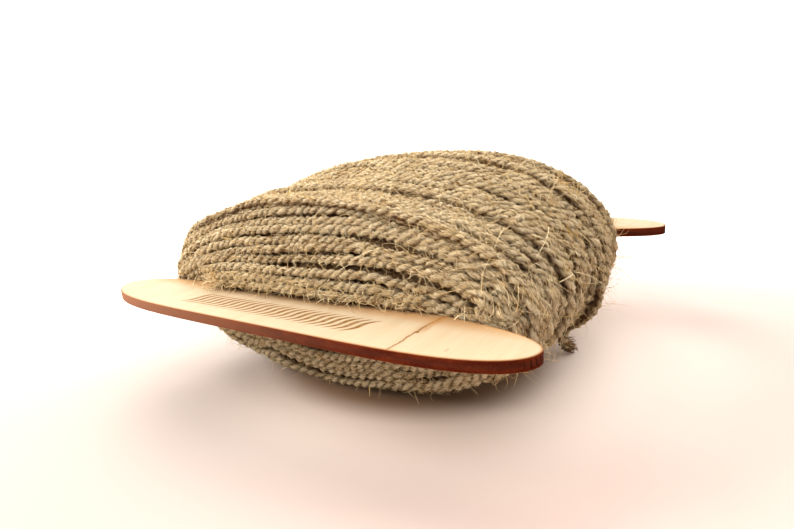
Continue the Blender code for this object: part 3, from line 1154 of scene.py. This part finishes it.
# The turns laid over the others: where each starts and ends along the outline in millimetres, the angles
# between which it shows, in degrees, and how high it rides
CROSSING_COLUMNS = ("start", "end", "from_angle", "to_angle", "rise")
CROSSING_TURNS = (
    (22.0, 30.0, -50.0, 200.0, 0.8),
    (48.0, 42.0, -70.0, 230.0, 1.0),
    (78.0, 86.0, -60.0, 215.0, 1.0),
    (100.0, 92.0, -40.0, 180.0, 1.0),
    (77.0, 71.0, -100.0, 30.0, 0.9),
)

# How far they sway, over what share of their length they come up, how deep their ends lie and how far they
# come up, in radii of the twine, and their tone
CROSSING_SWAY = 0.8 * MM
CROSSING_TAPER = 0.16
CROSSING_ENDS = 2.2
CROSSING_COMES_UP = 1.4
CROSSING_TONE = 0.55


def slanted_line(named, count):
    """A line over the ball: shares of it, places along the outline and angles, each at that many points."""
    share = np.linspace(0, 1, count)
    along = (named["start"] + share * (named["end"] - named["start"])) * MM
    angle = np.radians(named["from_angle"] + share * (named["to_angle"] - named["from_angle"]))
    return share, along, angle


def crossing_line(row, rng, radius):
    """The open line of a turn that rides over the others and dips between them at both ends."""
    named = dict(zip(CROSSING_COLUMNS, row))
    share, along, angle = slanted_line(named, LINE_POINTS)
    along += random_waves(rng, angle, ((2, CROSSING_SWAY),))
    y = np.interp(along, OUTLINE_LENGTH, OUTLINE_Y)
    shown = smooth_step(0, CROSSING_TAPER, share) * smooth_step(0, CROSSING_TAPER, 1 - share)
    raised = shown * (named["rise"] * MM + CROSSING_COMES_UP * radius) - CROSSING_ENDS * radius
    raised += swell(along, angle)
    normals = outward(y, angle)
    return ball_points(y, angle) + normals * raised[:, None], normals


class TWINE_OT_crossing_turns(bpy.types.Operator):
    """Lay a few turns over the others at a slant"""

    bl_idname = "twine.crossing_turns"
    bl_label = "Crossing Turns"

    def execute(self, context):
        twine = context.scene.twine_ball
        rng = np.random.default_rng(SEEDS["crossing"])
        radius = twine.diameter / 2
        strands, caps = [], []
        start = 0
        for row in CROSSING_TURNS:
            line, normals = crossing_line(row, rng, radius)
            strand = twist_strand(line, normals, radius, twine.twist_pitch, rng, False, CROSSING_TONE)
            strands.append(strand)
            caps.append(end_caps(start, len(strand["points"])))
            start += len(strand["points"])
        piece = strand_piece("crossing_turns", join_strands(strands), np.concatenate(caps),
                             twine_material())
        finish_piece(piece, "hemp_twine", "wound_twine")
        return {"FINISHED"}


def smooth_route(points, count):
    """Evenly spaced points on one smooth curve through the route's own points."""
    route = np.array(points) * MM
    along = distances(route)
    slopes = np.gradient(route, along, axis=0)
    fine = read_curve(along, route, slopes, np.linspace(0, along[-1], LINE_POINTS))
    travelled = distances(fine)
    return read_along(fine, travelled, np.linspace(0, travelled[-1], count))


class TWINE_OT_loose_end(bpy.types.Operator):
    """Hang the loose end down the right flank, with its frayed tip"""

    bl_idname = "twine.loose_end"
    bl_label = "Loose End"

    def execute(self, context):
        twine = context.scene.twine_ball
        rng = np.random.default_rng(SEEDS["loose_end"])
        line = smooth_route(LOOSE_END_ROUTE, LOOSE_END_POINTS)
        normals = np.tile(LOOSE_END_OUTWARD, (len(line), 1))
        radius = twine.diameter / 2
        strand = twist_strand(line, normals, radius, twine.twist_pitch, rng, False, LOOSE_END_TONE)
        caps = end_caps(0, len(strand["points"]))
        end = strand_piece("loose_twine_end", strand, caps, twine_material())
        finish_piece(end, "hemp_twine", "loose_end")
        fray = self.fray(rng, line, radius)
        return {"FINISHED"}

    @staticmethod
    def fray(rng, line, radius):
        """Short stiff fibres round the cut tip."""
        onward = unit(line[-1] - line[-TIP_STEP])
        scatter = FRAY_SCATTER * rng.standard_normal((FRAY_FIBRES, 3))
        starts = unit(onward * FRAY_ONWARD + np.array(FRAY_LEAN) + scatter)
        back = rng.uniform(0, FRAY_BACK, (FRAY_FIBRES, 1))
        aside = rng.standard_normal((FRAY_FIBRES, 3)).clip(-FRAY_SPREAD_MOST, FRAY_SPREAD_MOST)
        aside *= FRAY_SPREAD * radius
        # The fray is painted dark brown as painted shade, where the tip lies low under the flank
        made = fibre_material("frayed_tip", srgb(90, 58, 28), srgb(178, 140, 94))
        length = rng.uniform(*FRAY["length"], FRAY_FIBRES) * MM
        thickness = rng.uniform(*FRAY["radius"], FRAY_FIBRES) * MM
        roots = line[-1] + aside - onward * back
        piece = fibre_piece("loose_end_fray", rng, roots, starts, starts, length, thickness, FRAY, made)
        finish_piece(piece, "hemp_twine")
        return piece


# Fibres: their lengths and radii in millimetres, how steeply they leave the surface, how much they wander off
# the strand's own direction, how they curl, how they bow back and of how many pieces they are
FUZZ_PIECES = ("fuzz_fibres_1", "fuzz_fibres_2", "fuzz_fibres_3")
FUZZ = {"length": (1.4, 5.0), "radius": (0.04, 0.07), "lift": (0.0, 0.5), "wander": 0.65, "curl": 0.5,
        "bow": 0.3, "segments": 2}
STRAYS = {"length": (4.0, 13.0), "radius": (0.045, 0.08), "lift": (0.05, 0.7), "wander": 0.5, "curl": 0.5,
          "bow": 0.16, "segments": 4}
HAIRS = {"length": (5.0, 15.0), "radius": (0.07, 0.12), "lift": (0.1, 0.6), "wander": 0.6, "curl": 0.36,
         "bow": 0.13, "segments": 6}
CARD_HAIRS = {"length": (3.0, 9.0), "radius": (0.07, 0.12), "lift": (0.2, 0.8), "wander": 0.8, "curl": 0.6,
              "bow": 0.2, "segments": 5}
STRAW = {"length": (2.5, 7.0), "radius": (0.1, 0.2), "lift": 0.2, "wander": 0.5, "curl": 0.12,
         "bow": 0.02, "segments": 3}

# How far short fibres outnumber long ones, how deep fibres are rooted, how thin they end, and how unevenly
# they curl
LENGTH_POWER = 1.6
ROOT_DEPTH = 0.1 * MM
TIP_SHARE = 0.45
CURL_SPREAD = (0.3, 1.6)
CURL_JITTER = 0.12

# Fibres are pressed down softly over this height, and rest on the card and the floor this far over them
TALLEST = CAD_BOX[1][2] + 3 * MM
TALLEST_SOFT = 4 * MM
OVER_CARD = 0.08 * MM
OVER_FLOOR = 0.02 * MM

# Fibres grow where a turn's skin looks out this squarely, over this height and short of this far along Y
CREST_LEAST = 0.4
ROOTS_OVER = 1.0 * MM
ROOTS_SHORT_OF = 44 * MM

# The near turns just over the card, from which fibres lie on it
BY_CARD_NEAR = -47 * MM
BY_CARD_HEIGHT = 6 * MM
BY_CARD_HALF_LENGTH = 40 * MM

# The share by which the belly's fibres are shorter, and the heights between which that fades
BELLY_TRIM = 0.5
BELLY_TRIM_HEIGHTS = (8 * MM, 24 * MM)


def fibre_surface():
    found = bpy.data.materials.get("hemp_fibres")
    return found or fibre_material("hemp_fibres", srgb(168, 128, 82), bpy.context.scene.twine_ball.pale)


def hair_surface():
    found = bpy.data.materials.get("hemp_hairs")
    return found or fibre_material("hemp_hairs", srgb(210, 174, 116), srgb(244, 224, 180))


# A direction that few fibres point in, from which their three sides are set out
FIBRE_SIDE = (0.31, 0.52, 0.79)


def fibre_mesh(path, radii):
    """Tapered three-sided fibres along their paths: points, quads and triangles."""
    many, rings = path.shape[0], path.shape[1] - 1
    heading = unit(np.gradient(path, axis=1))[:, :-1]
    across = unit(np.cross(heading, FIBRE_SIDE))
    up = np.cross(heading, across)
    taper = np.linspace(1.0, TIP_SHARE, rings)
    reach = (radii[:, None] * taper[None, :])[..., None]
    corners = []
    for corner in range(3):
        turn = 2 * math.pi * corner / 3
        corners.append(path[:, :-1] + reach * (math.cos(turn) * across + math.sin(turn) * up))
    rim = np.stack(corners, axis=2).reshape(many, rings * 3, 3)
    points = np.concatenate((rim, path[:, -1:]), axis=1)
    size = rings * 3 + 1
    quads, triangles = [], [(0, 2, 1)]
    for ring in range(rings - 1):
        for corner in range(3):
            a, b = ring * 3 + corner, ring * 3 + (corner + 1) % 3
            quads.append((a, b, b + 3, a + 3))
    last = (rings - 1) * 3
    for corner in range(3):
        triangles.append((last + corner, last + (corner + 1) % 3, size - 1))
    offsets = (np.arange(many) * size)[:, None, None]
    quads = (np.array(quads)[None] + offsets).reshape(-1, 4)
    triangles = (np.array(triangles)[None] + offsets).reshape(-1, 3)
    return points.reshape(-1, 3), quads, triangles, size


def fibre_piece(name, rng, roots, starts, normals, lengths, radii, kind, surface):
    """Fibres that start at the roots, curl at random and bow back towards the surface."""
    many = len(roots)
    curl = kind["curl"]
    spin = unit(rng.standard_normal((many, 3))) * (curl * rng.uniform(*CURL_SPREAD, (many, 1)))
    step = (lengths / kind["segments"])[:, None]
    heading = unit(starts)
    path = [roots]
    for _ in range(kind["segments"]):
        path.append(path[-1] + heading * step)
        turned = heading + np.cross(spin, heading) - normals * kind["bow"]
        heading = unit(turned + CURL_JITTER * curl * rng.standard_normal((many, 3)))
    path = np.stack(path, axis=1)
    points, quads, triangles, size = fibre_mesh(path, radii)
    over = np.maximum(points[:, 2] - TALLEST, 0.0)
    points[:, 2] += TALLEST_SOFT * np.tanh(over / TALLEST_SOFT) - over
    on_card = (np.abs(points[:, 1]) > BAR_AXIS - BAR_INNER_DEPTH) & (points[:, 2] > CARD_HEIGHT)
    floor = np.where(on_card, CARD_HIGH.z + OVER_CARD, OVER_FLOOR)
    points[:, 2] = np.maximum(points[:, 2], floor)
    piece = mesh_piece(name, points, quads, triangles, surface)
    store(piece, "tone", np.repeat(rng.uniform(0, 1, many), size))
    return piece


def strand_surfaces():
    """Points on the crests of all the turns, with their directions."""
    names = ("strand_run", "outward", "crest")
    found = {name: [] for name in ("co",) + names}
    for piece_name in TURN_PIECES + ("crossing_turns",):
        piece = bpy.data.objects[piece_name]
        found["co"].append(mesh_points(piece))
        for name in names:
            found[name].append(stored(piece, name))
    joined = {name: np.concatenate(parts).astype(float) for name, parts in found.items()}
    kept = (joined["crest"] > CREST_LEAST) & (joined["co"][:, 2] > ROOTS_OVER)
    kept &= joined["co"][:, 1] < ROOTS_SHORT_OF
    return {name: values[kept] for name, values in joined.items()}


class TWINE_OT_fibres(bpy.types.Operator):
    """Grow the fuzz and the stray fibres out of the turns"""

    bl_idname = "twine.fibres"
    bl_label = "Fibres"

    def execute(self, context):
        twine = context.scene.twine_ball
        rng = np.random.default_rng(SEEDS["fibres"])
        surface = strand_surfaces()
        for name in FUZZ_PIECES:
            self.grow(name, rng, surface, twine.fuzz_fibres // len(FUZZ_PIECES), FUZZ)
        self.grow("stray_fibres", rng, surface, twine.stray_fibres, STRAYS)
        self.grow("pale_hairs", rng, surface, twine.pale_hairs, HAIRS)
        above_card = surface["co"][:, 2] - CARD_HIGH.z
        low = (above_card > 0) & (above_card < BY_CARD_HEIGHT) & (surface["co"][:, 1] < BY_CARD_NEAR)
        low &= np.abs(surface["co"][:, 0]) < BY_CARD_HALF_LENGTH
        by_card = {name: values[low] for name, values in surface.items()}
        self.grow("card_hairs", rng, by_card, twine.card_hairs, CARD_HAIRS)
        return {"FINISHED"}

    @staticmethod
    def grow(name, rng, surface, many, kind):
        picked = rng.integers(0, len(surface["co"]), many)
        normals = surface["outward"][picked]
        ways = np.where(rng.uniform(size=(many, 1)) < 0.5, -1.0, 1.0)
        lift = rng.uniform(*kind["lift"], (many, 1))
        strayed = kind["wander"] * rng.standard_normal((many, 3))
        starts = surface["strand_run"][picked] * ways + strayed + normals * lift
        roots = surface["co"][picked] - normals * ROOT_DEPTH
        shortest, longest = kind["length"]
        length = (shortest + rng.uniform(0, 1, many) ** LENGTH_POWER * (longest - shortest)) * MM
        length *= 1 - BELLY_TRIM * (1 - smooth_step(*BELLY_TRIM_HEIGHTS, roots[:, 2]))
        radius = rng.uniform(*kind["radius"], many) * MM
        made = fibre_surface() if kind is FUZZ else hair_surface()
        piece = fibre_piece(name, rng, roots, starts, normals, length, radius, kind, made)
        finish_piece(piece, "hemp_twine")


# Single long hairs that arch over the turns: where each starts and ends along the outline in millimetres, at
# which angles in degrees, how high it arches and how high its tip stands, in millimetres
ARCHED_COLUMNS = ("start", "from_angle", "end", "to_angle", "arch", "tip")
ARCHED_HAIRS = (
    (54.7, 30, 35.7, 23, 1.6, 0.4),
    (40.7, 39, 27.2, 34, 1.2, 0.3),
    (41.2, 10, 46.2, 11, 2.5, 0.5),
    (3.7, 19, 6.7, 24, 0.8, 1.2),
    (13.2, 87, 9.7, 88, 1.0, 0.8),
    (6.2, 95, 2.7, 101, 1.2, 0.4),
    (8.2, 81, 9.7, 78, 1.4, 0.6),
    (14.2, 65, 9.7, 72, 0.8, 0.3),
    (66.7, 79, 58.7, 72, 0.5, 0.3),
    (51.2, 9, 76.2, -12, 1.5, 3.0),
    (70.0, 88, 71.5, 86, 0.5, 5.0),
)

# Of how many pieces they are, how far they sway, their radii and how high they start, both in millimetres,
# and their tones
ARCH_SEGMENTS = 12
ARCH_SWAY = 0.5 * MM
ARCH_RADII = (0.1, 0.15)
ARCH_ROOT = 0.3
ARCH_TONES = (0.5, 1.0)

# Golden tufts: their place along the outline in millimetres and their angle in degrees. Then how far each
# reaches and of how many slivers it is
TUFTS = ((91.0, 44), (83.0, 35), (66.0, 16), (48.0, 8))
TUFT_REACH = 3.5 * MM
TUFT_STRAWS = 14


class TWINE_OT_arched_hairs(bpy.types.Operator):
    """Lay single long hairs over the turns"""

    bl_idname = "twine.arched_hairs"
    bl_label = "Arched Hairs"

    def execute(self, context):
        rng = np.random.default_rng(SEEDS["arched"])
        paths = []
        for row in ARCHED_HAIRS:
            named = dict(zip(ARCHED_COLUMNS, row))
            share, along, angle = slanted_line(named, ARCH_SEGMENTS + 1)
            along += ARCH_SWAY * np.sin(math.pi * share + rng.uniform(0, 2 * math.pi))
            y = np.interp(along, OUTLINE_LENGTH, OUTLINE_Y)
            high = named["arch"] * np.sin(math.pi * share) + named["tip"] * share ** 2 + ARCH_ROOT
            paths.append(ball_points(y, angle) + outward(y, angle) * high[:, None] * MM)
        paths = np.stack(paths)
        points, quads, triangles, size = fibre_mesh(paths, rng.uniform(*ARCH_RADII, len(paths)) * MM)
        piece = mesh_piece("arched_hairs", points, quads, triangles, hair_surface())
        store(piece, "tone", np.repeat(rng.uniform(*ARCH_TONES, len(paths)), size))
        finish_piece(piece, "hemp_twine")
        return {"FINISHED"}


class TWINE_OT_straw(bpy.types.Operator):
    """Stick slivers of stalk in the twine"""

    bl_idname = "twine.straw"
    bl_label = "Straw Bits"

    def execute(self, context):
        twine = context.scene.twine_ball
        rng = np.random.default_rng(SEEDS["straw"])
        surface = strand_surfaces()
        picked = rng.integers(0, len(surface["co"]), twine.straw_bits)
        for place, angle in TUFTS:
            y = np.interp([place * MM], OUTLINE_LENGTH, OUTLINE_Y)
            middle = ball_points(y, np.radians([angle]))
            close = np.flatnonzero(np.linalg.norm(surface["co"] - middle, axis=1) < TUFT_REACH)
            picked = np.concatenate((picked, rng.choice(close, TUFT_STRAWS)))
        many = len(picked)
        normals = surface["outward"][picked]
        strayed = STRAW["wander"] * rng.standard_normal((many, 3))
        starts = surface["strand_run"][picked] + strayed + STRAW["lift"] * normals
        made = fibre_material("straw", twine.gold, srgb(236, 208, 140))
        length = rng.uniform(*STRAW["length"], many) * MM
        thickness = rng.uniform(*STRAW["radius"], many) * MM
        piece = fibre_piece("straw_bits", rng, surface["co"][picked], starts, normals, length, thickness,
                            STRAW, made)
        finish_piece(piece, "hemp_twine")
        return {"FINISHED"}


class TWINE_OT_stage(bpy.types.Operator):
    """Set the pale paper, the soft light and the camera"""

    bl_idname = "twine.stage"
    bl_label = "Stage"

    def execute(self, context):
        settings = context.scene.twine_stage
        self.paper()
        for name, place, size, power in LAMPS:
            self.soft_light(name, place, size, getattr(settings, power))
        world = bpy.data.worlds.new("soft_sky")
        world.use_nodes = True
        tree = world.node_tree
        sky = tree.nodes["Background"]
        sky.inputs["Color"].default_value = (*SKY_COLOUR, 1.0)
        way = new_node(tree, "ShaderNodeTexCoord").outputs["Generated"]
        toward = Reading(tree, vector_step(tree, "DOT_PRODUCT", way, SKY_BRIGHT_SIDE).outputs["Value"])
        seen = new_node(tree, "ShaderNodeLightPath").outputs["Is Camera Ray"]
        strength = toward.ramp(*SKY_RANGE, settings.sky_dim, settings.sky).or_more(seen)
        feed(tree, sky.inputs["Strength"], strength)
        context.scene.world = world
        self.camera(context.scene)
        context.scene.view_settings.view_transform = "Standard"
        return {"FINISHED"}

    @staticmethod
    def paper():
        """A wide flat sheet under the ball."""
        bpy.ops.object.select_all(action="DESELECT")
        bpy.ops.mesh.primitive_plane_add(size=PAPER_SIZE, location=(0, 0, 0))
        sheet = bpy.context.object
        sheet.name = "stage_paper"
        sheet.data.materials.append(paper_material())

    @staticmethod
    def soft_light(name, place, size, power):
        light = bpy.data.lights.new(name, "AREA")
        light.shape = "DISK"
        light.size = size
        light.energy = power
        light.color = LAMP_COLOUR
        lamp = bpy.data.objects.new(name, light)
        lamp.location = place
        lamp.rotation_euler = (-Vector(place)).to_track_quat("-Z", "Y").to_euler()
        bpy.context.scene.collection.objects.link(lamp)

    @staticmethod
    def camera(scene):
        back = Vector((
            math.sin(CAMERA_AZIMUTH) * math.cos(CAMERA_ELEVATION),
            -math.cos(CAMERA_AZIMUTH) * math.cos(CAMERA_ELEVATION),
            math.sin(CAMERA_ELEVATION),
        ))
        level = Vector((math.cos(CAMERA_AZIMUTH), math.sin(CAMERA_AZIMUTH), 0.0))
        right = level * math.cos(CAMERA_ROLL) + back.cross(level) * math.sin(CAMERA_ROLL)
        up = back.cross(right)
        data = bpy.data.cameras.new("camera")
        data.lens = LENS_MM
        data.sensor_width = SENSOR_MM
        data.clip_start = 0.01
        camera = bpy.data.objects.new("camera", data)
        turned = Matrix((right, up, back)).transposed().to_4x4()
        camera.matrix_world = Matrix.Translation(CAMERA_PLACE) @ turned
        scene.collection.objects.link(camera)
        scene.camera = camera


class TWINE_PT_panel(bpy.types.Panel):
    """Buttons for each group of pieces"""

    bl_idname = "TWINE_PT_panel"
    bl_label = "Ball of Twine"
    bl_space_type = "VIEW_3D"
    bl_region_type = "UI"
    bl_category = "Twine"

    def draw(self, context):
        for settings in (context.scene.twine_ball, context.scene.winding_card, context.scene.twine_stage):
            box = self.layout.box()
            for name in settings.__annotations__:
                box.prop(settings, name)
        for operator in OPERATORS:
            self.layout.operator(operator.bl_idname)


SETTINGS = (
    ("twine_ball", TwineSettings),
    ("winding_card", CardSettings),
    ("twine_stage", StageSettings),
)
OPERATORS = (
    TWINE_OT_stage,
    TWINE_OT_loose_end,
    TWINE_OT_winding_card,
    TWINE_OT_inner_winding,
    TWINE_OT_outer_turns,
    TWINE_OT_crossing_turns,
    TWINE_OT_fibres,
    TWINE_OT_arched_hairs,
    TWINE_OT_straw,
)


def register():
    for name, settings in SETTINGS:
        bpy.utils.register_class(settings)
        setattr(bpy.types.Scene, name, PointerProperty(type=settings))
    for operator in OPERATORS:
        bpy.utils.register_class(operator)
    bpy.utils.register_class(TWINE_PT_panel)


def unregister():
    bpy.utils.unregister_class(TWINE_PT_panel)
    for operator in reversed(OPERATORS):
        bpy.utils.unregister_class(operator)
    for name, settings in reversed(SETTINGS):
        delattr(bpy.types.Scene, name)
        bpy.utils.unregister_class(settings)


def main():
    register()
    bpy.ops.twine.stage()
    bpy.ops.twine.loose_end()
    bpy.ops.twine.winding_card()
    bpy.ops.twine.inner_winding()
    bpy.ops.twine.outer_turns()
    bpy.ops.twine.crossing_turns()
    bpy.ops.twine.fibres()
    bpy.ops.twine.arched_hairs()
    bpy.ops.twine.straw()


if __name__ == "__main__":
    main()
